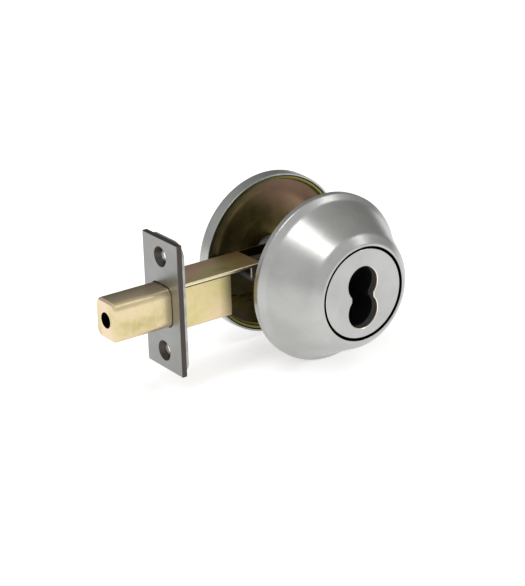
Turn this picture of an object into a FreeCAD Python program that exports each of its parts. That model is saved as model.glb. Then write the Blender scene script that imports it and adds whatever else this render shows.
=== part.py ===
import FreeCAD, Part
import math
import os
import Sketcher

# A tubular deadbolt with an interchangeable-core cylinder outside, a thumbturn inside and a
# thrown bolt. +Z is up, the bolt is thrown towards -X, the outside of the door is -Y and the
# inside is +Y. The origin is where the cross bore's axis meets the bolt's centre line.
# Every length is in millimetres.

DIMENSIONS = {
    # the door and its preparation
    "backset": 69.85,
    "half_door": 17.4625,
    # outside guard, a conical collar that turns freely
    "guard_height": 26.4,
    "guard_radius": 36.5,
    "guard_lip": 2.4,
    "guard_neck_radius": 34.0,
    "guard_neck_height": 5.0,
    "guard_shoulder_radius": 24.8,
    "guard_shoulder_height": 23.4,
    "guard_mouth_radius": 20.2,
    "guard_rim": 1.3,
    "guard_wall": 3.0,
    "guard_lip_round": 1.3,
    "guard_neck_round": 3.0,
    "guard_shoulder_round": 4.0,
    "guard_clearance": 0.8,
    "keeper_thickness": 1.6,
    # cylinder and core socket
    "housing_radius": 19.1,
    "face_radius": 19.35,
    "face_thickness": 0.9,
    "face_recess": 0.3,
    "housing_back": 7.2,
    "lobe_radius": 7.5,
    "lobe_offset": 6.05,
    "neck_half_width": 5.6,
    "socket_drop": 1.7,
    "socket_depth": 28.0,
    "sleeve_wall": 1.0,
    "drive_cavity_radius": 9.2,
    "drive_disc_radius": 8.6,
    "drive_disc_thickness": 2.2,
    "drive_disc_inset": 1.4,
    "drive_ring_thickness": 1.2,
    "drive_ring_step": 1.3,
    "drive_ring_hole": 4.4,
    "lug_offset": 3.9,
    "lug_radius": 1.2,
    "lug_height": 2.2,
    "tail_width": 5.0,
    "tail_play": 0.2,
    # mounting plate, posts and through screws
    "plate_radius": 31.2,
    "plate_inset": 2.4,
    "plate_thickness": 1.8,
    "screw_offset": 23.0,
    "screw_radius": 2.4,
    "post_radius": 3.5,
    "post_reach": 10.4,
    "screw_head_radius": 4.4,
    "screw_head_height": 2.4,
    # inside rose and thumbturn
    "rose_rim_radius": 35.6,
    "rose_wall_radius": 36.0,
    "rose_wall_height": 5.8,
    "rose_crown": 8.5,
    "rose_shoulder": 3.6,
    "scalp_sheet": 0.8,
    "rose_hole": 6.7,
    "liner_sheet": 1.0,
    "liner_wall_height": 2.0,
    "liner_shoulder_radius": 27.0,
    "liner_shoulder_height": 5.5,
    "liner_flat_radius": 14.0,
    "liner_recess": 0.5,
    "liner_gap": 0.5,
    "bushing_flange": 7.0,
    "spindle_radius": 5.0,
    "spindle_fit": 0.05,
    "spindle_start": 1.5,
    "spindle_socket": 9.5,
    "clip_thickness": 1.0,
    "washer_thickness": 0.4,
    "turn_hub_radius": 12.5,
    "turn_hub_height": 3.0,
    "turn_length": 36.0,
    "turn_width": 8.0,
    "turn_height": 15.0,
    "turn_gap": 0.9,
    "turn_corner": 3.4,
    "turn_round": 2.2,
    # bolt unit
    "throw": 25.4,
    "face_width": 25.4,
    "face_height": 57.15,
    "bolt_stand_out": 1.6,
    "front_sheet": 2.3,
    "back_sheet": 1.1,
    "back_corner": 6.35,
    "screw_spacing": 41.275,
    "wood_screw_radius": 2.3,
    "countersink": 2.1,
    "case_width": 16.8,
    "case_height": 19.8,
    "case_sheet": 0.9,
    "case_end": 41.4,
    "cover_width": 17.8,
    "cover_sheet": 1.2,
    "cover_gap": 0.7,
    "cover_top_end": 26.0,
    "cheek_start": 31.0,
    "cheek_strip": 4.0,
    "cheek_bottom": 8.4,
    "cover_end": 13.0,
    "bolt_width": 14.6,
    "bolt_height": 17.2,
    "bolt_corner": 3.5,
    "bolt_length": 40.35,
    "bolt_play": 0.4,
    "roller_radius": 2.8,
    "roller_hole_radius": 3.25,
    "roller_hole_depth": 17.0,
    "roller_length": 13.0,
    # cam and link
    "crank_radius": 17.96,
    "crank_half_width": 4.0,
    "crank_half_thickness": 2.0,
    "cam_radius": 7.0,
    "journal_radius": 5.0,
    "journal_fit": 0.06,
    "journal_length": 19.0,
    "crank_pin_radius": 2.2,
    "crank_pin_half": 4.6,
    "link_inner": 2.6,
    "link_sheet": 1.6,
    "link_bottom": 8.3,
    "link_top": 3.7,
    "link_start": 65.5,
    "link_drop_start": 38.0,
    "link_neck": 35.0,
    "link_shoulder": 31.0,
    "rivet_radius": 1.8,
    "rivet_inset": 5.0,
    "rivet_drop": 6.0,
    "rivet_inset_side": 1.3,
    "fork_half_width": 2.9,
    "fork_arm": 2.2,
    "fork_crown": 10.3,
    "fork_end": 19.0,
    # detent spring
    "spring_start": 30.3,
    "spring_bend": 24.0,
    "spring_knee": 4.0,
    "spring_tip": 3.0,
    "spring_rest": 7.35,
    "spring_sheet": 0.4,
    "spring_width": 5.0,
}

# a crank at 45 degrees reaches this part of its length along each axis
DIAGONAL = math.sqrt(0.5)

document = FreeCAD.newDocument("deadbolt")


def make_sheet():
    """The spreadsheet that drives every feature."""
    sheet = document.addObject("Spreadsheet::Sheet", "Dims")
    for row, (name, number) in enumerate(DIMENSIONS.items(), start=1):
        sheet.set(f"A{row}", name)
        sheet.set(f"B{row}", str(number))
        sheet.setAlias(f"B{row}", name)
    document.recompute()
    return sheet


sheet = make_sheet()


def expand(expression):
    """Write the names in an expression as cells of the sheet."""
    words = []
    for token in expression.replace("(", " ( ").replace(")", " ) ").split():
        sign = ""
        while token[0] in "+-" and len(token) > 1:
            sign += token[0]
            token = token[1:]
        words.append(sign + ("Dims." + token if token in DIMENSIONS else token))
    return " ".join(words)


def size(expression):
    """The number that an expression of sheet names gives."""
    return float(sheet.evalExpression(expand(str(expression))))


def bind(target, prop, expression):
    target.setExpression(prop, expand(str(expression)))


def origin_plane(body, role):
    return next(item for item in body.Origin.OriginFeatures if item.Role == role)


def new_body(label, x="0", y="0", z="0"):
    """An empty body whose own origin stands at (x, y, z)."""
    body = document.addObject("PartDesign::Body", label)
    body.Label = label
    for axis, expression in zip("xyz", (x, y, z)):
        bind(body, f"Placement.Base.{axis}", expression)
    return body


def new_sketch(body, role, offset="0"):
    sketch = body.newObject("Sketcher::SketchObject", body.Label + "_sketch")
    sketch.AttachmentSupport = [(origin_plane(body, role), "")]
    sketch.MapMode = "FlatFace"
    bind(sketch, "AttachmentOffset.Base.z", offset)
    return sketch


def fix(sketch, kind, geometry, point, expression):
    """Hold one coordinate of a sketch point at an expression."""
    constraint = Sketcher.Constraint(kind, -1, 1, geometry, point, size(expression))
    index = sketch.addConstraint(constraint)
    bind(sketch, f"Constraints[{index}]", expression)


def outline(body, role, corners, offset="0", sketch=None):
    """A closed outline of straight edges through corners, each a pair of expressions."""
    sketch = sketch or new_sketch(body, role, offset)
    first = len(sketch.Geometry)
    points = [FreeCAD.Vector(size(x), size(y), 0) for x, y in corners]
    count = len(points)
    for index, point in enumerate(points):
        sketch.addGeometry(Part.LineSegment(point, points[(index + 1) % count]))
    for index, (x, y) in enumerate(corners):
        joint = Sketcher.Constraint("Coincident", first + index - 1 + (count if index == 0 else 0), 2,
                                    first + index, 1)
        sketch.addConstraint(joint)
        fix(sketch, "DistanceX", first + index, 1, x)
        fix(sketch, "DistanceY", first + index, 1, y)
    return sketch


def rectangle(body, role, low, high, offset="0", sketch=None):
    """A rectangle between two corners, each a pair of expressions."""
    corners = [low, (high[0], low[1]), high, (low[0], high[1])]
    return outline(body, role, corners, offset, sketch)


def circle(body, role, radius, x="0", y="0", offset="0", sketch=None):
    sketch = sketch or new_sketch(body, role, offset)
    centre = FreeCAD.Vector(size(x), size(y), 0)
    index = sketch.addGeometry(Part.Circle(centre, FreeCAD.Vector(0, 0, 1), size(radius)))
    fix(sketch, "DistanceX", index, 3, x)
    fix(sketch, "DistanceY", index, 3, y)
    held = sketch.addConstraint(Sketcher.Constraint("Radius", index, size(radius)))
    bind(sketch, f"Constraints[{held}]", radius)
    return sketch


def pad(body, sketch, length, backwards=False, midplane=False):
    feature = body.newObject("PartDesign::Pad", body.Label + "_pad")
    feature.Profile = sketch
    bind(feature, "Length", length)
    feature.Reversed = backwards
    feature.Midplane = midplane
    document.recompute()
    return feature


def pocket(body, sketch, length, backwards=False, midplane=False):
    """Cut a sketch into the body, and make sure that it removed something."""
    before = body.Shape.Volume
    feature = body.newObject("PartDesign::Pocket", body.Label + "_pocket")
    feature.Profile = sketch
    bind(feature, "Length", length)
    feature.Reversed = backwards
    feature.Midplane = midplane
    document.recompute()
    if body.Shape.Volume > before - 1e-3:
        raise ValueError(f"a pocket in {body.Label} cut nothing")
    return feature


def revolve(body, corners):
    """Turn an outline of (radius, along Y) corners about the body's Y axis."""
    sketch = outline(body, "XY_Plane", corners)
    feature = body.newObject("PartDesign::Revolution", body.Label + "_turned")
    feature.Profile = sketch
    feature.ReferenceAxis = (sketch, ["V_Axis"])
    feature.Angle = 360
    document.recompute()
    return feature


def dress(body, kind, amount, choose):
    """Round ("Fillet") or bevel ("Chamfer") the edges of a body that choose() picks."""
    base = body.Tip
    names = [f"Edge{index}" for index, edge in enumerate(base.Shape.Edges, start=1) if choose(edge)]
    if not names:
        raise ValueError(f"no edge of {body.Label} to dress")
    feature = body.newObject("PartDesign::" + kind, body.Label + "_" + kind.lower())
    feature.Base = (base, names)
    bind(feature, "Radius" if kind == "Fillet" else "Size", amount)
    document.recompute()
    return feature


def near(one, other):
    return abs(one - other) < 1e-3


def ring_at(radius, y):
    """Picks the circular edge about the Y axis with this radius, at this height."""
    def choose(edge):
        curve = edge.Curve
        return isinstance(curve, Part.Circle) and near(curve.Radius, size(radius)) \
            and near(curve.Center.y, size(y)) and near(curve.Center.x, 0)
    return choose


def line_along(axis, **places):
    """Picks straight edges along an axis whose other coordinates have these sizes, either sign."""
    def choose(edge):
        if not isinstance(edge.Curve, Part.Line):
            return False
        if not near(abs(getattr(edge.tangentAt(edge.FirstParameter), axis)), 1):
            return False
        middle = edge.CenterOfMass
        return all(near(abs(getattr(middle, name)), size(place)) for name, place in places.items())
    return choose


def face_edges(axis, place):
    """Picks every edge that lies in the plane where the axis coordinate has this value."""
    def choose(edge):
        box = edge.BoundBox
        low = getattr(box, axis.upper() + "Min")
        high = getattr(box, axis.upper() + "Max")
        return near(low, size(place)) and near(high, size(place))
    return choose


def both(*tests):
    return lambda edge: all(test(edge) for test in tests)


def either(*tests):
    return lambda edge: any(test(edge) for test in tests)


def rod(label, radius, start, end, x="0", z="0"):
    """A plain cylinder along Y between two heights."""
    solid = document.addObject("Part::Cylinder", label)
    solid.Label = label
    bind(solid, "Radius", radius)
    bind(solid, "Height", f"({end}) - ({start})")
    solid.Placement.Rotation = FreeCAD.Rotation(FreeCAD.Vector(1, 0, 0), -90)
    for axis, expression in zip("xyz", (x, start, z)):
        bind(solid, f"Placement.Base.{axis}", expression)
    return solid


def socket_outline(body, grow, offset):
    """The figure-8 of the core socket, made larger all round by grow, as three sketches."""
    upper = circle(body, "XZ_Plane", f"lobe_radius + {grow}", "0", "lobe_offset - socket_drop", offset)
    lower = circle(body, "XZ_Plane", f"lobe_radius + {grow}", "0", "-lobe_offset - socket_drop", offset)
    neck = rectangle(body, "XZ_Plane",
                     (f"-neck_half_width - {grow}", "-lobe_offset - socket_drop"),
                     (f"neck_half_width + {grow}", "lobe_offset - socket_drop"), offset)
    return upper, lower, neck


def square(body, half, offset="0"):
    """A square about the body's Y axis, given half its side."""
    return rectangle(body, "XZ_Plane", (f"-( {half} )", f"-( {half} )"), (half, half), offset)


def disc(label, y, radius, thickness, hole):
    """A flat round washer that stands from y towards the outside."""
    body = new_body(label, y=y)
    pad(body, circle(body, "XZ_Plane", radius), thickness)
    pocket(body, circle(body, "XZ_Plane", hole, offset=f"{thickness} + 1"), f"{thickness} + 2")
    return body


def guard():
    """Conical collar with a rolled lip at the door, hollow behind its mouth."""
    body = new_body("cylinder_guard", y="-half_door")
    inside = "plate_radius + guard_clearance"
    revolve(body, [
        ("guard_radius", "0"),
        ("guard_radius", "-guard_lip"),
        ("guard_neck_radius", "-guard_neck_height"),
        ("guard_shoulder_radius", "-guard_shoulder_height"),
        ("guard_mouth_radius + guard_rim", "-guard_height"),
        ("guard_mouth_radius", "-guard_height"),
        ("guard_mouth_radius", "-guard_shoulder_height - 0.8"),
        ("guard_shoulder_radius - guard_wall", "-guard_shoulder_height + 0.6"),
        (inside, "-guard_neck_height + 0.2"),
        (inside, "-keeper_thickness - 0.4"),
        ("guard_radius - guard_lip", "-keeper_thickness - 0.4"),
        ("guard_radius - guard_lip", "0"),
    ])
    dress(body, "Fillet", "guard_lip_round", ring_at("guard_radius", "-guard_lip"))
    dress(body, "Fillet", "guard_neck_round", ring_at("guard_neck_radius", "-guard_neck_height"))
    dress(body, "Fillet", "guard_shoulder_round",
          ring_at("guard_shoulder_radius", "-guard_shoulder_height"))
    dress(body, "Fillet", "0.6", ring_at("guard_mouth_radius + guard_rim", "-guard_height"))
    dress(body, "Fillet", "0.4", ring_at("guard_mouth_radius", "-guard_height"))
    return body


def guard_keeper():
    """Ring pressed into the back of the guard that catches the mounting plate's edge."""
    return disc("guard_keeper", "-half_door - 0.4", "guard_radius - guard_lip - 0.03", "keeper_thickness",
                "plate_radius - 1.7")


def face_plate():
    """Satin disc that closes the cylinder, pierced by the core socket."""
    body = new_body("cylinder_face", y="-half_door - guard_height + face_recess + face_thickness")
    pad(body, circle(body, "XZ_Plane", "face_radius"), "face_thickness")
    for part in socket_outline(body, "0", "face_thickness"):
        pocket(body, part, "face_thickness + 1")
    dress(body, "Chamfer", "0.25", face_edges("y", "-face_thickness"))
    return body


def housing():
    """Cylinder body: the sleeve's pocket from the front, the drive cavity from the back."""
    body = new_body("cylinder_housing", y="-half_door + housing_back")
    length = "guard_height + housing_back - face_recess - face_thickness"
    pad(body, circle(body, "XZ_Plane", "housing_radius"), length)
    for part in socket_outline(body, "sleeve_wall", length):
        pocket(body, part, "socket_depth")
    cavity = circle(body, "XZ_Plane", "drive_cavity_radius")
    pocket(body, cavity, f"{length} - socket_depth", backwards=True)
    ring_seat = circle(body, "XZ_Plane", "drive_cavity_radius + drive_ring_step")
    pocket(body, ring_seat, "drive_ring_thickness", backwards=True)
    return body


def sleeve():
    """Dark tube of the figure-8 section that the core slides into."""
    body = new_body("core_sleeve", y="-half_door - guard_height + face_recess + face_thickness")
    for part in socket_outline(body, "sleeve_wall", "0"):
        pad(body, part, "socket_depth", backwards=True)
    for part in socket_outline(body, "0", "1"):
        pocket(body, part, "socket_depth + 2")
    return body


def throw_member():
    """Drive disc behind the core, with two lugs for the core and a square hole for the bar."""
    body = new_body("throw_member", y="-half_door + housing_back - drive_disc_inset")
    pad(body, circle(body, "XZ_Plane", "drive_disc_radius"), "drive_disc_thickness")
    for side in ("-lug_offset", "lug_offset"):
        lug = circle(body, "XZ_Plane", "lug_radius", side, "0", "drive_disc_thickness")
        pad(body, lug, "lug_height")
    pocket(body, square(body, "tail_width / 2", "2 * drive_disc_thickness"), "3 * drive_disc_thickness")
    return body


def tailpiece():
    """Square bar from the drive disc through the cam into the thumbturn's spindle."""
    end = "spindle_start + spindle_socket - 2.0"
    body = new_body("tailpiece", y=f"half_door + {end}")
    bar = square(body, "tail_width / 2")
    pad(body, bar, f"2 * half_door + {end} - housing_back + drive_disc_inset + drive_disc_thickness")
    dress(body, "Chamfer", "0.4", line_along("y", x="tail_width / 2", z="tail_width / 2"))
    return body


def drive_retainer():
    """Ring that holds the drive disc in the back of the cylinder."""
    return disc("drive_retainer", "-half_door + housing_back",
                "drive_cavity_radius + drive_ring_step - 0.05", "drive_ring_thickness",
                "drive_ring_hole")


def mounting_plate():
    """Disc behind the guard that carries the cylinder and its two posts."""
    body = disc("mounting_plate", "-half_door - plate_inset", "plate_radius", "plate_thickness",
                "housing_radius + 0.03")
    for side in ("-screw_offset", "screw_offset"):
        hole = circle(body, "XZ_Plane", "screw_radius + 0.2", side, "0", "2 * plate_thickness")
        pocket(body, hole, "4 * plate_thickness")
    return body


def group(label, solids):
    """Separate solids of one kind as a single sub-part."""
    compound = document.addObject("Part::Compound", label)
    compound.Label = label
    compound.Links = solids
    document.recompute()
    return compound


def combine(kind, label, base, tool):
    """Cut one solid from another, or fuse the two."""
    result = document.addObject("Part::" + kind, label)
    result.Base = base
    result.Tool = tool
    document.recompute()
    return result


def posts():
    """Two threaded posts on the mounting plate that the through screws draw up to."""
    made = []
    start = "-half_door - plate_inset"
    for side, name in (("-screw_offset", "post_near"), ("screw_offset", "post_far")):
        outer = rod(name, "post_radius", start, f"{start} + post_reach", x=side)
        thread = rod(name + "_thread", "screw_radius + 0.05", f"{start} - 1",
                     f"{start} + post_reach + 1", x=side)
        made.append(combine("Cut", name + "_tube", outer, thread))
    return group("mounting_posts", made)


def through_screws():
    """Two pan-head screws from the inside rose into the posts."""
    made = []
    seat = "half_door + rose_crown"
    for side, name in (("-screw_offset", "screw_near"), ("screw_offset", "screw_far")):
        shank = rod(name + "_shank", "screw_radius", "-half_door - 1.5", seat, x=side)
        head = rod(name + "_head", "screw_head_radius", seat, f"{seat} + screw_head_height", x=side)
        slot = document.addObject("Part::Box", name + "_slot")
        bind(slot, "Length", "1.2")
        bind(slot, "Width", "1.4")
        bind(slot, "Height", "2 * screw_head_radius + 2")
        bind(slot, "Placement.Base.x", f"{side} - 0.6")
        bind(slot, "Placement.Base.y", f"{seat} + screw_head_height - 1.2")
        bind(slot, "Placement.Base.z", "-screw_head_radius - 1")
        whole = combine("Fuse", name, shank, head)
        made.append(combine("Cut", name + "_slotted", whole, slot))
    return group("through_screws", made)


def drill_rose(body):
    """The two through-screw holes of a rose piece."""
    for side in ("-screw_offset", "screw_offset"):
        hole = circle(body, "XZ_Plane", "screw_radius + 0.3", side, "0", "2 * rose_crown")
        pocket(body, hole, "4 * rose_crown")


def rose_scalp():
    """Outer shell of the inside rose: a shallow pan with a rounded shoulder."""
    body = new_body("rose_scalp", y="half_door")
    revolve(body, [
        ("rose_rim_radius", "0"),
        ("rose_wall_radius", "rose_wall_height"),
        ("rose_wall_radius - rose_shoulder", "rose_crown"),
        ("rose_hole", "rose_crown"),
        ("rose_hole", "rose_crown - scalp_sheet"),
        ("rose_wall_radius - rose_shoulder - 0.3", "rose_crown - scalp_sheet"),
        ("rose_wall_radius - scalp_sheet", "rose_wall_height - 0.4"),
        ("rose_rim_radius - scalp_sheet", "0"),
    ])
    drill_rose(body)
    dress(body, "Fillet", "2.2", ring_at("rose_wall_radius", "rose_wall_height"))
    dress(body, "Fillet", "2.0", ring_at("rose_wall_radius - rose_shoulder", "rose_crown"))
    dress(body, "Fillet", "0.3", ring_at("rose_rim_radius", "0"))
    return body


def rose_liner():
    """Dished steel pan inside the scalp, set back from its rim and clear of its wall."""
    body = new_body("rose_liner", y="half_door")
    outer = "rose_rim_radius - scalp_sheet - liner_gap"
    floor = "rose_crown - scalp_sheet"
    revolve(body, [
        (outer, "liner_recess"),
        (outer, "liner_wall_height + 0.4"),
        ("liner_shoulder_radius + 0.4", "liner_shoulder_height + liner_sheet"),
        ("liner_flat_radius", floor),
        ("rose_hole", floor),
        ("rose_hole", f"{floor} - liner_sheet"),
        ("liner_flat_radius", f"{floor} - liner_sheet"),
        ("liner_shoulder_radius", "liner_shoulder_height"),
        (f"{outer} - liner_sheet", "liner_wall_height"),
        (f"{outer} - liner_sheet", "liner_recess"),
    ])
    drill_rose(body)
    dress(body, "Fillet", "1.8", ring_at(f"{outer} - liner_sheet", "liner_wall_height"))
    dress(body, "Fillet", "9.0", ring_at("liner_shoulder_radius", "liner_shoulder_height"))
    return body


def rose_bushing():
    """Flanged bearing for the spindle in the middle of the rose."""
    body = new_body("rose_bushing", y="half_door")
    bearing = "spindle_radius + spindle_fit"
    seat = "rose_crown - scalp_sheet - liner_sheet"
    revolve(body, [
        (bearing, f"{seat} - 1.2"),
        ("bushing_flange", f"{seat} - 1.2"),
        ("bushing_flange", seat),
        ("rose_hole - 0.1", seat),
        ("rose_hole - 0.1", "rose_crown + 0.5"),
        (bearing, "rose_crown + 0.5"),
    ])
    return body


def spindle():
    """Turned spindle with a square socket that slides over the tailpiece."""
    body = new_body("turn_spindle", y="half_door + spindle_start")
    revolve(body, [
        ("0", "0"),
        ("spindle_radius", "0"),
        ("spindle_radius", "rose_crown + 2.5"),
        ("0", "rose_crown + 2.5"),
    ])
    pocket(body, square(body, "tail_width / 2 + tail_play", "1"), "spindle_socket")
    return body


def thumbturn():
    """Round hub with a flat grip that lies level while the bolt is thrown."""
    body = new_body("thumbturn", y="half_door + rose_crown + turn_gap")
    pad(body, circle(body, "XZ_Plane", "turn_hub_radius"), "turn_hub_height", backwards=True)
    dress(body, "Fillet", "1.0", ring_at("turn_hub_radius", "turn_hub_height"))
    grip = rectangle(body, "XZ_Plane", ("-turn_length / 2", "-turn_width / 2"),
                     ("turn_length / 2", "turn_width / 2"), "-turn_hub_height + 0.5")
    pad(body, grip, "turn_height", backwards=True)
    dress(body, "Fillet", "turn_corner", line_along("y", x="turn_length / 2", z="turn_width / 2"))
    dress(body, "Fillet", "turn_round", face_edges("y", "turn_hub_height - 0.5 + turn_height"))
    pocket(body, circle(body, "XZ_Plane", "spindle_radius"), "3.1")
    return body


def plate_blank(body, thickness, offset):
    """The outline that the front plate and the back plate share."""
    blank = rectangle(body, "YZ_Plane", ("-face_width / 2", "-face_height / 2"),
                      ("face_width / 2", "face_height / 2"), offset)
    pad(body, blank, thickness)


def bolt_hole(body, depth, offset):
    """Rounded rectangular hole that the bolt passes through."""
    wide = "bolt_width / 2 + bolt_play"
    tall = "bolt_height / 2 + bolt_play"
    hole = rectangle(body, "YZ_Plane", (f"-( {wide} )", f"-( {tall} )"), (wide, tall), offset)
    pocket(body, hole, depth)
    dress(body, "Fillet", "bolt_corner + bolt_play", line_along("x", y=wide, z=tall))


def wood_screw_holes(body, radius, depth, offset):
    for height in ("-screw_spacing / 2", "screw_spacing / 2"):
        pocket(body, circle(body, "YZ_Plane", radius, "0", height, offset), depth)


def front_plate():
    """Square-cornered faceplate with two countersunk screw holes."""
    body = new_body("faceplate", x="-backset")
    plate_blank(body, "front_sheet", "0")
    bolt_hole(body, "front_sheet + 2", "front_sheet + 1")
    wood_screw_holes(body, "wood_screw_radius", "front_sheet + 2", "front_sheet + 1")
    screw_mouth = both(face_edges("x", "0"), lambda edge: isinstance(edge.Curve, Part.Circle)
                       and near(edge.Curve.Radius, size("wood_screw_radius")))
    dress(body, "Chamfer", "countersink", screw_mouth)
    rim = both(face_edges("x", "0"),
               either(line_along("y", z="face_height / 2"), line_along("z", y="face_width / 2")))
    dress(body, "Fillet", "0.35", rim)
    return body


def back_plate():
    """Round-cornered plate behind the faceplate that carries the case."""
    body = new_body("back_plate", x="-backset")
    plate_blank(body, "back_sheet", "front_sheet")
    dress(body, "Fillet", "back_corner",
          line_along("x", y="face_width / 2", z="face_height / 2"))
    cut_from = "front_sheet + back_sheet + 1"
    bolt_hole(body, "back_sheet + 2", cut_from)
    wood_screw_holes(body, "wood_screw_radius", "back_sheet + 2", cut_from)
    return body


def case_channel():
    """Folded channel, open at the top, that guides the bolt."""
    body = new_body("bolt_case", x="-backset + front_sheet + back_sheet")
    wide = "case_width / 2"
    top = "case_height / 2 - cover_sheet - cover_gap"
    floor = "-case_height / 2"
    section = outline(body, "YZ_Plane", [
        (f"-{wide}", top), (f"-{wide}", floor), (wide, floor), (wide, top),
        (f"{wide} - case_sheet", top), (f"{wide} - case_sheet", f"{floor} + case_sheet"),
        (f"-{wide} + case_sheet", f"{floor} + case_sheet"), (f"-{wide} + case_sheet", top),
    ])
    pad(body, section, "backset - front_sheet - back_sheet - case_end")
    dress(body, "Fillet", "1.2", line_along("x", y=wide, z="case_height / 2"))
    return body


def case_cover():
    """Cover over the bolt that runs on as two cheeks, open above, which bear the cam."""
    body = new_body("case_cover")
    wide = "cover_width / 2"
    top = "case_height / 2"
    start = "-backset + front_sheet + back_sheet"
    lid = rectangle(body, "YZ_Plane", (f"-{wide}", f"{top} - cover_sheet"), (wide, top), start)
    pad(body, lid, f"-cover_top_end - ( {start} )")
    for low, high in ((f"-{wide}", f"-{wide} + case_sheet"), (f"{wide} - case_sheet", wide)):
        strip = rectangle(body, "YZ_Plane", (low, "cheek_strip"), (high, top), "-cheek_start")
        pad(body, strip, "cheek_start + cover_end")
        cheek = rectangle(body, "YZ_Plane", (low, "-cheek_bottom"), (high, top), "-cover_end")
        pad(body, cheek, "2 * cover_end")
    dress(body, "Fillet", "5.0", either(line_along("y", x="cover_end", z="cheek_bottom"),
                                        line_along("y", x="cover_end", z=top)))
    dress(body, "Fillet", "0.6", line_along("x", y=wide, z=top))
    bearing = circle(body, "XZ_Plane", "journal_radius + journal_fit", offset="case_width")
    pocket(body, bearing, "2 * case_width")
    return body


def bolt():
    """Solid bolt with rounded corners, a blind hole in its end and a slot for the link."""
    body = new_body("bolt", x="-backset - throw - bolt_stand_out")
    wide = "bolt_width / 2"
    tall = "bolt_height / 2"
    blank = rectangle(body, "YZ_Plane", (f"-{wide}", f"-{tall}"), (wide, tall))
    pad(body, blank, "bolt_length")
    dress(body, "Fillet", "bolt_corner", line_along("x", y=wide, z=tall))
    dress(body, "Chamfer", "0.9", face_edges("x", "0"))
    pocket(body, circle(body, "YZ_Plane", "roller_hole_radius"), "roller_hole_depth",
           backwards=True)
    slot = rectangle(body, "YZ_Plane", ("-link_inner - link_sheet - 0.15", "-bolt_height"),
                     ("link_inner + link_sheet + 0.15", "-link_top + 0.4"), "bolt_length")
    pocket(body, slot, "9.9")
    rivet = circle(body, "XZ_Plane", "rivet_radius", "bolt_length - rivet_inset", "-rivet_drop",
                   "bolt_width")
    pocket(body, rivet, "2 * bolt_width")
    return body


def roller_pin():
    """Hardened pin that turns loose in the bolt's end hole and defeats a saw."""
    body = new_body("roller_pin", x="-backset - throw - bolt_stand_out + roller_hole_depth")
    pad(body, circle(body, "YZ_Plane", "roller_radius"), "roller_length", backwards=True)
    dress(body, "Chamfer", "0.5", face_edges("x", "-roller_length"))
    return body


def link_plate(label, start):
    """One side of the link: a bar from the bolt that drops into a fork under the cam."""
    body = new_body(label, y=start)
    pin = f"crank_radius * {DIAGONAL}"
    shoulder = "-link_bottom + 0.2"
    profile = outline(body, "XZ_Plane", [
        ("-link_start", "-link_bottom"),
        ("-link_drop_start", "-link_bottom"),
        (f"-{pin} - fork_half_width - fork_arm", "-fork_end"),
        (f"-{pin} - fork_half_width", "-fork_end"),
        (f"-{pin} - fork_half_width", "-fork_crown"),
        (f"-{pin} + fork_half_width", "-fork_crown"),
        (f"-{pin} + fork_half_width", "-fork_end"),
        (f"-{pin} + fork_half_width + fork_arm", "-fork_end"),
        (f"-{pin} + fork_half_width + fork_arm", shoulder),
        ("-link_shoulder", shoulder),
        ("-link_neck", "-link_top"),
        ("-link_start", "-link_top"),
    ])
    pad(body, profile, "link_sheet", backwards=True)
    rivet_x = "-backset - throw - bolt_stand_out + bolt_length - rivet_inset"
    rivet = circle(body, "XZ_Plane", "rivet_radius", rivet_x, "-rivet_drop", "2 * link_sheet")
    pocket(body, rivet, "4 * link_sheet")
    return body


def cam():
    """Cam with a journal in each cheek, a square hole and a crank arm that hangs at 45 degrees."""
    body = new_body("cam")
    pad(body, circle(body, "XZ_Plane", "cam_radius"), "bolt_width", midplane=True)
    pad(body, circle(body, "XZ_Plane", "journal_radius"), "journal_length", midplane=True)
    reach = f"crank_radius * {DIAGONAL}"
    across = f"crank_half_width * {DIAGONAL}"
    arm = outline(body, "XZ_Plane", [
        (f"-{across}", across), (f"-{reach} - {across}", f"-{reach} + {across}"),
        (f"-{reach} + {across}", f"-{reach} - {across}"), (across, f"-{across}"),
    ])
    pad(body, arm, "2 * crank_half_thickness", midplane=True)
    tip = circle(body, "XZ_Plane", "crank_half_width", f"-{reach}", f"-{reach}")
    pad(body, tip, "2 * crank_half_thickness", midplane=True)
    pocket(body, square(body, "tail_width / 2 + tail_play / 2"), "2 * journal_length", midplane=True)
    bore = circle(body, "XZ_Plane", "crank_pin_radius", f"-{reach}", f"-{reach}")
    pocket(body, bore, "2 * journal_length", midplane=True)
    return body


def detent_spring():
    """Bent leaf under the cover that reaches back over the top of the cam."""
    body = new_body("detent_spring")
    top = "case_height / 2 - cover_sheet"
    leaf = outline(body, "XZ_Plane", [
        ("-spring_start", top),
        ("-spring_start", f"{top} - spring_sheet"),
        ("-spring_bend", f"{top} - spring_sheet"),
        ("-spring_knee", "spring_rest + 0.15"),
        ("spring_tip", "spring_rest"),
        ("spring_tip", "spring_rest + spring_sheet"),
        ("-spring_knee", "spring_rest + spring_sheet + 0.15"),
        ("-spring_bend", top),
    ])
    pad(body, leaf, "spring_width", midplane=True)
    return body


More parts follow.
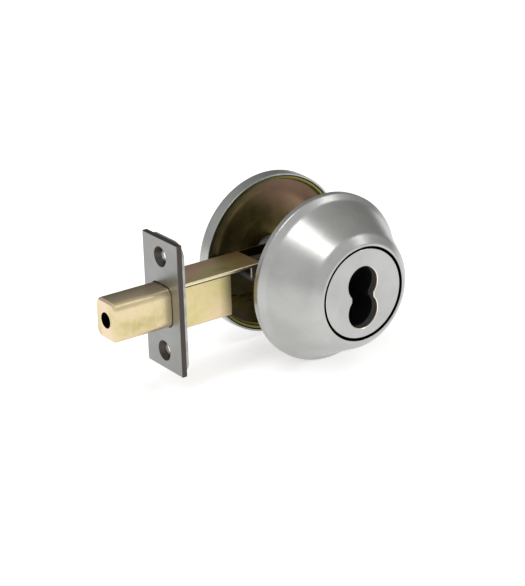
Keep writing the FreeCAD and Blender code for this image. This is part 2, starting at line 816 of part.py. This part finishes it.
def build():
    """Every sub-part of the deadbolt, in the order the pieces go together."""
    crank = f"crank_radius * {DIAGONAL}"
    rivet_x = "-backset - throw - bolt_stand_out + bolt_length - rivet_inset"
    clip_seat = "half_door + rose_crown - scalp_sheet - liner_sheet - 1.5"
    return [
        guard(), guard_keeper(), face_plate(), housing(), sleeve(), throw_member(), tailpiece(),
        drive_retainer(), mounting_plate(), posts(), through_screws(),
        rose_scalp(), rose_liner(), rose_bushing(), spindle(),
        disc("wave_washer", clip_seat, "bushing_flange - 0.4", "washer_thickness",
             "spindle_radius + 0.4"),
        disc("spindle_clip", f"{clip_seat} - washer_thickness", "bushing_flange", "clip_thickness",
             "spindle_radius"),
        thumbturn(),
        front_plate(), back_plate(), case_channel(), case_cover(), detent_spring(),
        bolt(), roller_pin(),
        link_plate("link_plate_outside", "-link_inner - link_sheet"),
        link_plate("link_plate_inside", "link_inner"),
        rod("link_rivet", "rivet_radius", "-bolt_width / 2 + rivet_inset_side",
            "bolt_width / 2 - rivet_inset_side",
            rivet_x, "-rivet_drop"),
        cam(),
        rod("crank_pin", "crank_pin_radius", "-crank_pin_half", "crank_pin_half", f"-{crank}", f"-{crank}"),
    ]


def write(parts):
    """Check every object and sub-part, then write one STEP file for each sub-part."""
    document.recompute()
    broken = [item.Name for item in document.Objects if {"Invalid", "Error"} & set(item.State)]
    if broken:
        raise ValueError(f"objects that failed: {broken}")
    os.makedirs("parts", exist_ok=True)
    for part in parts:
        shape = part.Shape
        if shape.isNull() or not shape.isValid() or shape.Volume <= 0:
            raise ValueError(f"{part.Label} has no sound shape")
        shape.exportStep(os.path.join("parts", part.Label + ".step"))
        print(f"{part.Label}: {len(shape.Solids)} solid(s), {shape.Volume:.0f} mm3")


write(build())
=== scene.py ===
import math

import bpy
from mathutils import Matrix, Vector


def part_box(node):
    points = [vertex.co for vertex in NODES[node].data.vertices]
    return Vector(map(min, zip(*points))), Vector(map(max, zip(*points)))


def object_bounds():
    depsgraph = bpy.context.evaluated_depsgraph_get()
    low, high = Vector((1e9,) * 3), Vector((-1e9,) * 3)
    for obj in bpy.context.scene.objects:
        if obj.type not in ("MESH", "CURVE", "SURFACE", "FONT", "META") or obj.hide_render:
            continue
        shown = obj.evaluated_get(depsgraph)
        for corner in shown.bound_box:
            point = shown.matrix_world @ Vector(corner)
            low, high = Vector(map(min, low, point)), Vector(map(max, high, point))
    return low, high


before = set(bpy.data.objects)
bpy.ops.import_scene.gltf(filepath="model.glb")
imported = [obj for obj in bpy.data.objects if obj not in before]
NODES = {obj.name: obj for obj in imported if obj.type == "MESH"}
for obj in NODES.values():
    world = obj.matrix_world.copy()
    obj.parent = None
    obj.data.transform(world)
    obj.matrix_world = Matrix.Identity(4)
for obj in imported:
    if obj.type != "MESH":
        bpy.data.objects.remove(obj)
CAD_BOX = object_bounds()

MM = 0.001

# ---------------------------------------------------------------- dimensions

# width of the soft edge between two tints
BLEND = 0.08 * MM
# where the painted shade and painted highlights on the pieces lie, measured in the CAD frame
SLEEVE_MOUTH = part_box("core_sleeve")[0].y
SLEEVE_BAND = 2.6 * MM
GUARD_MOUTH = 20.35 * MM
FACE_EDGE = 19.2 * MM
PIN_HOLE = 3.4 * MM
BOLT_TOP_PAINTED_SHADE = (-5.0 * MM, 5.5 * MM)
CASE_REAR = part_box("bolt_case")[1].x
CASE_SHADE = 6.0 * MM
LINER_WALL = 32.5 * MM
LINER_PAINTED_HIGHLIGHT = (12.0 * MM, 30.0 * MM)
LINER_PAINTED_SHADE = (-3.0 * MM, -20.0 * MM)
COVER_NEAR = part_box("case_cover")[0].y
COVER_PAINTED_HIGHLIGHT = (COVER_NEAR + 0.8 * MM, COVER_NEAR + 0.4 * MM)
CHEEK_PAINTED_SHADE = (-30.0 * MM, -25.0 * MM)
# studio
FLOOR_SIZE = 6.0
FLOOR_GAP = 0.2 * MM
KEY_PLACE, KEY_SIZE, KEY_POWER = (-0.42, -0.10, 1.12), (0.30, 0.50), 2.4
EDGE_PLACE, EDGE_SIZE, EDGE_POWER = (0.54, -0.38, 0.76), (0.22, 0.22), 0.6
DIM_CORNER = (0.62, 0.75, 0.22)
# camera: azimuth, elevation and roll in degrees, then its distance and sideways shifts
CAMERA_ANGLES = (-35.375, 22.032, -1.645)
CAMERA_DISTANCE = 829.54 * MM
CAMERA_SLIDE = -15.675 * MM
CAMERA_LIFT = -12.298 * MM
CAMERA_LENS = 119.48
SENSOR_WIDTH = 36.0
# pattern scales, per metre: along a brush mark and across it
BRUSH = (150.0, 6000.0)
TURNED_BRUSH = (120.0, 9000.0)
FILM_GRAIN = (200.0, 4000.0)
SATIN_CLOUD = 60.0
SATIN_RUB = 260.0
ZINC_MOTTLE = 300.0
OXIDE_WEAR = 350.0
# how far a normal leans from its axis before a face stops counting as flat to it
FLAT = (0.6, 0.95)

# ---------------------------------------------------------------- node helpers


def new_material(name, metallic, roughness, colour):
    """A material with the given plain values, and its node tree and shader."""
    mat = bpy.data.materials.new(name)
    mat.use_nodes = True
    shader = mat.node_tree.nodes["Principled BSDF"]
    shader.inputs["Metallic"].default_value = metallic
    shader.inputs["Roughness"].default_value = roughness
    shader.inputs["Base Color"].default_value = (*colour, 1.0)
    return mat, mat.node_tree, shader


def row_position(tree):
    """The point's place in the row frame, in metres. It moves with the piece."""
    return tree.nodes.new("ShaderNodeTexCoord").outputs["Object"]


def stretched(tree, point, scale):
    """The point with each coordinate multiplied, for a pattern drawn out along an axis."""
    node = tree.nodes.new("ShaderNodeVectorMath")
    node.operation = "MULTIPLY"
    node.inputs[1].default_value = scale
    tree.links.new(point, node.inputs[0])
    return node.outputs[0]


def math_node(tree, operation, first, second):
    node = tree.nodes.new("ShaderNodeMath")
    node.operation = operation
    for socket, value in zip(node.inputs, (first, second)):
        if isinstance(value, (int, float)):
            socket.default_value = value
        else:
            tree.links.new(value, socket)
    return node.outputs[0]


def noise(tree, vector, scale, detail=3.0, rough=0.5, distortion=0.0):
    node = tree.nodes.new("ShaderNodeTexNoise")
    node.inputs["Scale"].default_value = scale
    node.inputs["Detail"].default_value = detail
    node.inputs["Roughness"].default_value = rough
    node.inputs["Distortion"].default_value = distortion
    tree.links.new(vector, node.inputs["Vector"])
    return node.outputs["Fac"]


def remap(tree, value, low, high, to_low, to_high):
    """The value moved from one range to another, and held inside it."""
    node = tree.nodes.new("ShaderNodeMapRange")
    for name, number in (("From Min", low), ("From Max", high), ("To Min", to_low), ("To Max", to_high)):
        node.inputs[name].default_value = number
    tree.links.new(value, node.inputs["Value"])
    return node.outputs["Result"]


def ramp(tree, value, stops):
    """A colour from a value, by stops of (place, colour)."""
    node = tree.nodes.new("ShaderNodeValToRGB")
    elements = node.color_ramp.elements
    while len(elements) < len(stops):
        elements.new(0.5)
    for element, (place, colour) in zip(elements, stops):
        element.position = place
        element.color = (*colour, 1.0)
    tree.links.new(value, node.inputs["Fac"])
    return node.outputs["Color"]


def mix_colour(tree, factor, first, second):
    node = tree.nodes.new("ShaderNodeMix")
    node.data_type = "RGBA"
    tree.links.new(factor, node.inputs["Factor"])
    for socket, value in ((node.inputs[6], first), (node.inputs[7], second)):
        if isinstance(value, tuple):
            socket.default_value = (*value, 1.0)
        else:
            tree.links.new(value, socket)
    return node.outputs[2]


def add_bump(tree, shader, height, strength, distance):
    """Adds a height to the shader's bump, on top of any bump that it has already."""
    node = tree.nodes.new("ShaderNodeBump")
    node.inputs["Strength"].default_value = strength
    node.inputs["Distance"].default_value = distance
    tree.links.new(height, node.inputs["Height"])
    before = shader.inputs["Normal"].links
    if before:
        tree.links.new(before[0].from_socket, node.inputs["Normal"])
    tree.links.new(node.outputs["Normal"], shader.inputs["Normal"])


def facing(tree, axis, low, high):
    """1 where the surface faces along an axis of the row frame, either way, falling to 0."""
    split = tree.nodes.new("ShaderNodeSeparateXYZ")
    texture = tree.nodes.new("ShaderNodeTexCoord")
    tree.links.new(texture.outputs["Normal"], split.inputs[0])
    size = math_node(tree, "ABSOLUTE", split.outputs["xyz".index(axis)], 0.0)
    return remap(tree, size, low, high, 0.0, 1.0)


def turned_position(tree, along, across):
    """A point whose last coordinate runs over a turned part's profile, for rings about the Y axis."""
    split = tree.nodes.new("ShaderNodeSeparateXYZ")
    tree.links.new(row_position(tree), split.inputs[0])
    x, y, z = split.outputs
    radius = axis_distance(tree, "y")
    profile = math_node(tree, "MULTIPLY", math_node(tree, "ADD", radius, y), across)
    join = tree.nodes.new("ShaderNodeCombineXYZ")
    tree.links.new(math_node(tree, "MULTIPLY", x, along), join.inputs[0])
    tree.links.new(math_node(tree, "MULTIPLY", z, along), join.inputs[1])
    tree.links.new(profile, join.inputs[2])
    return join.outputs[0]


def coordinate(tree, axis):
    """One coordinate of the surface point, in the CAD frame."""
    split = tree.nodes.new("ShaderNodeSeparateXYZ")
    tree.links.new(row_position(tree), split.inputs[0])
    return split.outputs["xyz".index(axis)]


def axis_distance(tree, axis):
    """How far the surface point is from a coordinate axis."""
    squares = []
    for other in "xyz".replace(axis, ""):
        value = coordinate(tree, other)
        squares.append(math_node(tree, "MULTIPLY", value, value))
    return math_node(tree, "SQRT", math_node(tree, "ADD", *squares), 0.0)


def tint(mat, make_factor, colour):
    """Mix a colour over what a material has, by a factor that its node tree works out."""
    tree = mat.node_tree
    base = tree.nodes["Principled BSDF"].inputs["Base Color"]
    under = base.links[0].from_socket
    tree.links.new(mix_colour(tree, make_factor(tree), under, colour), base)
    return mat


def inside(axis, radius):
    """Factor: 1 within a radius of an axis, 0 beyond it."""
    return lambda tree: remap(tree, axis_distance(tree, axis), radius, radius + BLEND, 1.0, 0.0)


def outside(axis, radius):
    """Factor: 1 beyond a radius from an axis, 0 within it."""
    return lambda tree: remap(tree, axis_distance(tree, axis), radius - BLEND, radius, 0.0, 1.0)


def toward(axis, start, end, most=1.0):
    """Factor: rises from 0 to most between two places along an axis."""
    return lambda tree: remap(tree, coordinate(tree, axis), start, end, 0.0, most)


def on_top(axis, start, end, most):
    """Factor: like toward, but only on faces that look up or down."""
    return lambda tree: math_node(tree, "MULTIPLY", toward(axis, start, end, most)(tree),
                                  facing(tree, "z", *FLAT))


def turned_away(axis, low, high):
    """Factor: 0 on faces flat to an axis, 1 on those that turn away from it."""
    return lambda tree: remap(tree, facing(tree, axis, low, high), 0.0, 1.0, 1.0, 0.0)


# ---------------------------------------------------------------- materials


def satin_chrome(name, tone=1.0, roughness=0.27, turned=True, brush_axis=None):
    """Satin chrome plate: fine brushing, faint cloudiness and soft handling marks."""
    mat, tree, shader = new_material(name, 1.0, roughness, (0.6, 0.6, 0.58))
    point = row_position(tree)
    cloud = noise(tree, point, SATIN_CLOUD, 4.0, 0.6)
    dark = tuple(tone * value for value in (0.405, 0.405, 0.395))
    light = tuple(tone * value for value in (0.465, 0.465, 0.455))
    tree.links.new(ramp(tree, cloud, ((0.35, dark), (0.65, light))), shader.inputs["Base Color"])
    if turned:
        grain = noise(tree, turned_position(tree, *TURNED_BRUSH), 1.0, 2.0, 0.6)
    else:
        scale = tuple(BRUSH[0] if axis == brush_axis else BRUSH[1] for axis in "xyz")
        grain = noise(tree, stretched(tree, point, scale), 1.0, 2.0, 0.6)
    rub = noise(tree, point, SATIN_RUB, 5.0, 0.65)
    both = math_node(tree, "ADD", math_node(tree, "MULTIPLY", grain, 0.6),
                     math_node(tree, "MULTIPLY", rub, 0.4))
    tree.links.new(remap(tree, both, 0.3, 0.7, roughness - 0.05, roughness + 0.07),
                   shader.inputs["Roughness"])
    add_bump(tree, shader, grain, 0.25, 0.00002)
    add_bump(tree, shader, rub, 0.06, 0.00008)
    return mat


def dichromate(name, stops, roughness=0.34, scale=34.0, streak_axis=None):
    """Yellow zinc dichromate: the film's colour wanders between gold, olive and pink."""
    mat, tree, shader = new_material(name, 1.0, roughness, (0.7, 0.6, 0.35))
    point = row_position(tree)
    drawn = tuple(0.4 if axis == streak_axis else 1.0 for axis in "xyz")
    wide = noise(tree, stretched(tree, point, drawn), scale, 2.0, 0.5, 1.2)
    fine = noise(tree, point, scale * 9.0, 4.0, 0.6)
    film = math_node(tree, "ADD", math_node(tree, "MULTIPLY", wide, 0.82),
                     math_node(tree, "MULTIPLY", fine, 0.18))
    tree.links.new(ramp(tree, film, stops), shader.inputs["Base Color"])
    grain_scale = tuple(FILM_GRAIN[0] if axis == streak_axis else FILM_GRAIN[1] for axis in "xyz")
    grain = noise(tree, stretched(tree, point, grain_scale), 1.0, 2.0, 0.6)
    tree.links.new(remap(tree, grain, 0.3, 0.7, roughness - 0.06, roughness + 0.10),
                   shader.inputs["Roughness"])
    add_bump(tree, shader, grain, 0.22, 0.00003)
    add_bump(tree, shader, noise(tree, point, 420.0, 3.0), 0.10, 0.0001)
    return mat


def plain_zinc(name, tone=0.55, roughness=0.38, hue=(1.0, 1.0, 0.98)):
    """Bright zinc plate on a small steel piece, a little mottled."""
    mat, tree, shader = new_material(name, 1.0, roughness, (tone, tone, tone))
    point = row_position(tree)
    mottle = noise(tree, point, ZINC_MOTTLE, 4.0, 0.6)
    dark = tuple(0.75 * tone * value for value in hue)
    light = tuple(1.1 * tone * value for value in hue)
    tree.links.new(ramp(tree, mottle, ((0.3, dark), (0.7, light))), shader.inputs["Base Color"])
    tree.links.new(remap(tree, mottle, 0.3, 0.7, roughness + 0.08, roughness - 0.06),
                   shader.inputs["Roughness"])
    add_bump(tree, shader, noise(tree, point, 1500.0, 3.0), 0.15, 0.00003)
    return mat


def oxide_and_painted_depth_shade(name, mouth, band):
    """Charcoal sleeve, rubbed lighter over a band inside its mouth; a painted highlight rings the band's
    end, and painted shade makes it black beyond.
    """
    mat, tree, shader = new_material(name, 0.0, 0.45, (0.05, 0.05, 0.05))
    point = row_position(tree)
    depth = math_node(tree, "SUBTRACT", coordinate(tree, "y"), mouth)
    worn = noise(tree, point, OXIDE_WEAR, 4.0, 0.6)
    rubbed = ramp(tree, worn, ((0.35, (0.055, 0.053, 0.052)), (0.7, (0.10, 0.096, 0.092))))
    # Painted highlight: a thin light ring at the depth where the band ends.
    edge = ramp(tree, remap(tree, depth, 0.92 * band, 1.08 * band, 0.0, 1.0),
                ((0.0, (0.0, 0.0, 0.0)), (0.25, (0.30, 0.28, 0.26)), (0.5, (0.0, 0.0, 0.0))))
    # Painted shade: everything deeper than the band is made black.
    painted_depth_shade = remap(tree, depth, 1.02 * band, 1.04 * band, 0.0, 1.0)
    colour = mix_colour(tree, painted_depth_shade, rubbed, (0.003, 0.003, 0.003))
    lit = tree.nodes.new("ShaderNodeMix")
    lit.data_type = "RGBA"
    lit.blend_type = "ADD"
    lit.inputs["Factor"].default_value = 1.0
    tree.links.new(colour, lit.inputs[6])
    tree.links.new(edge, lit.inputs[7])
    tree.links.new(lit.outputs[2], shader.inputs["Base Color"])
    tree.links.new(remap(tree, worn, 0.3, 0.7, 0.55, 0.4), shader.inputs["Roughness"])
    add_bump(tree, shader, noise(tree, point, 2500.0, 2.0), 0.2, 0.00003)
    return mat


def edged_plate(name):
    """Satin faceplate, darker and duller where its faces turn away from X, over its edges and in its
    screw holes; in the holes that is painted shade.
    """
    # The plate is a darker copy of the satin chrome, painted shade over the whole plate.
    mat = satin_chrome(name, tone=0.68, roughness=0.36, turned=False, brush_axis="z")
    return tint(mat, turned_away("x", 0.74, 0.95), (0.07, 0.062, 0.055))


GOLD = ((0.30, (0.46, 0.39, 0.17)), (0.42, (0.68, 0.57, 0.34)), (0.54, (0.76, 0.61, 0.45)),
        (0.68, (0.80, 0.56, 0.48)))
OLIVE = ((0.30, (0.40, 0.36, 0.12)), (0.42, (0.62, 0.54, 0.26)), (0.54, (0.72, 0.58, 0.36)),
         (0.68, (0.74, 0.46, 0.40)))
ROSY = ((0.30, (0.30, 0.27, 0.09)), (0.42, (0.56, 0.48, 0.22)), (0.54, (0.62, 0.46, 0.27)),
        (0.66, (0.66, 0.38, 0.31)))
BRONZE = ((0.28, (0.028, 0.022, 0.006)), (0.44, (0.085, 0.066, 0.018)), (0.58, (0.17, 0.128, 0.045)),
          (0.74, (0.30, 0.19, 0.13)))
SHADOW = (0.006, 0.005, 0.004)
# Olive colour for painted shade.
PAINTED_OLIVE_SHADE = (0.13, 0.115, 0.035)
# Colour of the painted highlight on the face's edges.
PAINTED_EDGE_HIGHLIGHT = (0.95, 0.86, 0.76)


def face_satin_and_painted_light():
    """Satin face with a painted highlight on its edges round the socket and a dark line of painted shade
    round its rim.
    """
    mat = satin_chrome("satin_face", roughness=0.30)
    tint(mat, turned_away("y", 0.8, 0.95), PAINTED_EDGE_HIGHLIGHT)
    return tint(mat, outside("y", FACE_EDGE), SHADOW)


# The guard's colour is painted with shadow within GUARD_MOUTH of the axis, over the gap round the face.
GUARD_METAL = tint(satin_chrome("satin_guard_painted_mouth_shadow", roughness=0.31), inside("y", GUARD_MOUTH), SHADOW)
FACE_METAL = face_satin_and_painted_light()
ROSE_METAL = satin_chrome("satin_rose", tone=0.95)
TURN_METAL = satin_chrome("satin_turn", turned=False, brush_axis="x")
PLATE_METAL = edged_plate("satin_faceplate")
ZINC = plain_zinc("bright_zinc")
GREY_ZINC = plain_zinc("grey_zinc", tone=0.42, roughness=0.46)
DARK_ZINC = plain_zinc("dark_zinc", tone=0.16, roughness=0.46)
BLACK_STEEL = plain_zinc("black_steel", tone=0.06, roughness=0.46)
SPRING_STEEL = plain_zinc("spring_steel", tone=0.34, roughness=0.3)


def bolt_film_and_painted_shade():
    """Gold film, with painted shade inside the pin's hole and olive painted shade over the far side of
    its top.
    """
    mat = dichromate("dichromate_bolt", GOLD, 0.33, 42.0, "x")
    tint(mat, on_top("y", *BOLT_TOP_PAINTED_SHADE, 0.85), PAINTED_OLIVE_SHADE)
    return tint(mat, inside("x", PIN_HOLE), SHADOW)


def case_film_and_painted_shade():
    """Olive film with painted shade, darkening over the last of the case towards the cam."""
    mat = dichromate("dichromate_case", OLIVE, 0.36, 38.0, "x")
    return tint(mat, toward("x", CASE_REAR - CASE_SHADE, CASE_REAR, 0.7), PAINTED_OLIVE_SHADE)


def cover_film_and_painted_light():
    """Rosy film; painted shade makes it browner on the far side and dark by the cam, and a painted
    highlight runs along the near edge.
    """
    mat = dichromate("dichromate_cover", ROSY, 0.34, 44.0, "x")
    tint(mat, toward("y", 0.0, -COVER_NEAR, 0.45), (0.28, 0.17, 0.12))
    tint(mat, toward("y", *COVER_PAINTED_HIGHLIGHT, 0.8), (0.85, 0.76, 0.55))

    def painted_cam_shade(tree):
        wall = turned_away("z", *FLAT)(tree)
        return math_node(tree, "MULTIPLY", toward("x", *CHEEK_PAINTED_SHADE, 0.9)(tree), wall)
    return tint(mat, painted_cam_shade, (0.02, 0.017, 0.008))


def liner_film_and_painted_light():
    """Brown film inside the rose, with a painted highlight, pinker and brighter, towards the upper far
    side, painted shade towards the lower side opposite, and a lighter olive band of painted light on its
    wall.
    """
    mat = dichromate("dichromate_liner", BRONZE, 0.38, 30.0)

    def slant(tree):
        across = math_node(tree, "MULTIPLY", coordinate(tree, "x"), 0.6)
        along = math_node(tree, "MULTIPLY", coordinate(tree, "z"), 0.8)
        return math_node(tree, "ADD", across, along)

    # Painted highlight: pinker and brighter towards the upper far side.
    def bright(tree):
        return remap(tree, slant(tree), *LINER_PAINTED_HIGHLIGHT, 0.0, 0.6)

    # Painted shade: darker towards the lower side opposite.
    def dim(tree):
        return remap(tree, slant(tree), *LINER_PAINTED_SHADE, 0.0, 0.85)

    tint(mat, bright, (0.50, 0.30, 0.23))
    tint(mat, dim, (0.012, 0.010, 0.004))
    # Painted light: a lighter olive band over the liner's wall.
    return tint(mat, outside("y", LINER_WALL), (0.19, 0.17, 0.05))


FINISHES = {
    "cylinder_guard": GUARD_METAL,
    "cylinder_face": FACE_METAL,
    "rose_scalp": ROSE_METAL,
    "thumbturn": TURN_METAL,
    "faceplate": PLATE_METAL,
    "core_sleeve": oxide_and_painted_depth_shade("oxide_and_painted_depth_shade", SLEEVE_MOUTH, SLEEVE_BAND),
    # The housing's dark zinc also stands in for painted shade in the gap round the face.
    "cylinder_housing": DARK_ZINC,
    "throw_member": GREY_ZINC,
    "guard_keeper": SPRING_STEEL,
    "drive_retainer": SPRING_STEEL,
    "wave_washer": SPRING_STEEL,
    "spindle_clip": SPRING_STEEL,
    "detent_spring": SPRING_STEEL,
    # The roller pin's near-black steel also stands in for painted shade inside the bolt's hole.
    "roller_pin": BLACK_STEEL,
    "tailpiece": ZINC,
    "mounting_plate": DARK_ZINC,
    "mounting_posts": BLACK_STEEL,
    "through_screws": BLACK_STEEL,
    "turn_spindle": ZINC,
    "link_rivet": ZINC,
    "crank_pin": ZINC,
    # The cam's near-black steel also stands in for painted shade inside the case.
    "cam": BLACK_STEEL,
    "rose_bushing": dichromate("dichromate_bushing", BRONZE, 0.36, 60.0),
    "bolt": bolt_film_and_painted_shade(),
    "back_plate": GREY_ZINC,
    "bolt_case": case_film_and_painted_shade(),
    "case_cover": cover_film_and_painted_light(),
    # The link plates' dark film also stands in for painted shade inside the case.
    "link_plate_outside": dichromate("dichromate_link", BRONZE, 0.42, 40.0),
    "rose_liner": liner_film_and_painted_light(),
}
FINISHES["link_plate_inside"] = FINISHES["link_plate_outside"]


def dress_nodes():
    """Gives every carried-over CAD node its finish."""
    for name, finish in FINISHES.items():
        node = NODES[name]
        node.data.materials.clear()
        node.data.materials.append(finish)


# ---------------------------------------------------------------- stage, lights and camera


def pale_floor():
    """A plain pale floor just under the lock, lit a little of itself so that it stays white."""
    mat, tree, shader = new_material("pale_floor", 0.0, 0.9, (0.86, 0.86, 0.86))
    shader.inputs["Emission Color"].default_value = (1.0, 1.0, 1.0, 1.0)
    shader.inputs["Emission Strength"].default_value = 0.55
    wear = noise(tree, row_position(tree), 3.0, 2.0)
    tree.links.new(ramp(tree, wear, ((0.3, (0.85, 0.85, 0.85)), (0.7, (0.88, 0.88, 0.88)))),
                   shader.inputs["Base Color"])
    bpy.ops.mesh.primitive_plane_add(size=FLOOR_SIZE, location=(0, 0, CAD_BOX[0].z - FLOOR_GAP))
    floor = bpy.context.object
    floor.name = "floor"
    floor.data.materials.append(mat)


def softbox(name, place, size, power):
    """A rectangular area light that faces the lock."""
    data = bpy.data.lights.new(name, "AREA")
    data.shape = "RECTANGLE"
    data.size, data.size_y = size
    data.energy = power
    light = bpy.data.objects.new(name, data)
    light.location = place
    light.rotation_euler = (-Vector(place)).to_track_quat("-Z", "Y").to_euler()
    bpy.context.collection.objects.link(light)


def studio_lights():
    """Pale walls that dim towards the inside far corner, a key overhead and a small edge light."""
    world = bpy.data.worlds.new("studio")
    bpy.context.scene.world = world
    world.use_nodes = True
    tree = world.node_tree
    away = tree.nodes.new("ShaderNodeVectorMath")
    away.operation = "DOT_PRODUCT"
    away.inputs[1].default_value = DIM_CORNER
    tree.links.new(tree.nodes.new("ShaderNodeTexCoord").outputs["Generated"], away.inputs[0])
    walls = ramp(tree, remap(tree, away.outputs["Value"], -0.6, 1.0, 0.0, 1.0),
                 ((0.0, (0.84, 0.84, 0.84)), (0.55, (0.68, 0.68, 0.67)), (1.0, (0.26, 0.26, 0.25))))
    tree.links.new(walls, tree.nodes["Background"].inputs["Color"])
    softbox("key", KEY_PLACE, KEY_SIZE, KEY_POWER)
    softbox("edge_light", EDGE_PLACE, EDGE_SIZE, EDGE_POWER)


def photo_camera():
    """A camera on the outside of the door, towards the bolt, raised and a little rolled."""
    azimuth, elevation, roll = (math.radians(value) for value in CAMERA_ANGLES)
    back = Vector((math.sin(azimuth) * math.cos(elevation), -math.cos(azimuth) * math.cos(elevation),
                   math.sin(elevation)))
    level = Vector((math.cos(azimuth), math.sin(azimuth), 0))
    upright = back.cross(level)
    right = level * math.cos(roll) + upright * math.sin(roll)
    up = upright * math.cos(roll) - level * math.sin(roll)
    data = bpy.data.cameras.new("photo_camera")
    data.sensor_width = SENSOR_WIDTH
    data.lens = CAMERA_LENS
    camera = bpy.data.objects.new("photo_camera", data)
    turn = Matrix((right, up, back)).transposed().to_4x4()
    place = back * CAMERA_DISTANCE + right * CAMERA_SLIDE + up * CAMERA_LIFT
    camera.matrix_world = Matrix.Translation(place) @ turn
    bpy.context.collection.objects.link(camera)
    bpy.context.scene.camera = camera


dress_nodes()
pale_floor()
studio_lights()
photo_camera()
bpy.context.scene.view_settings.view_transform = "Standard"
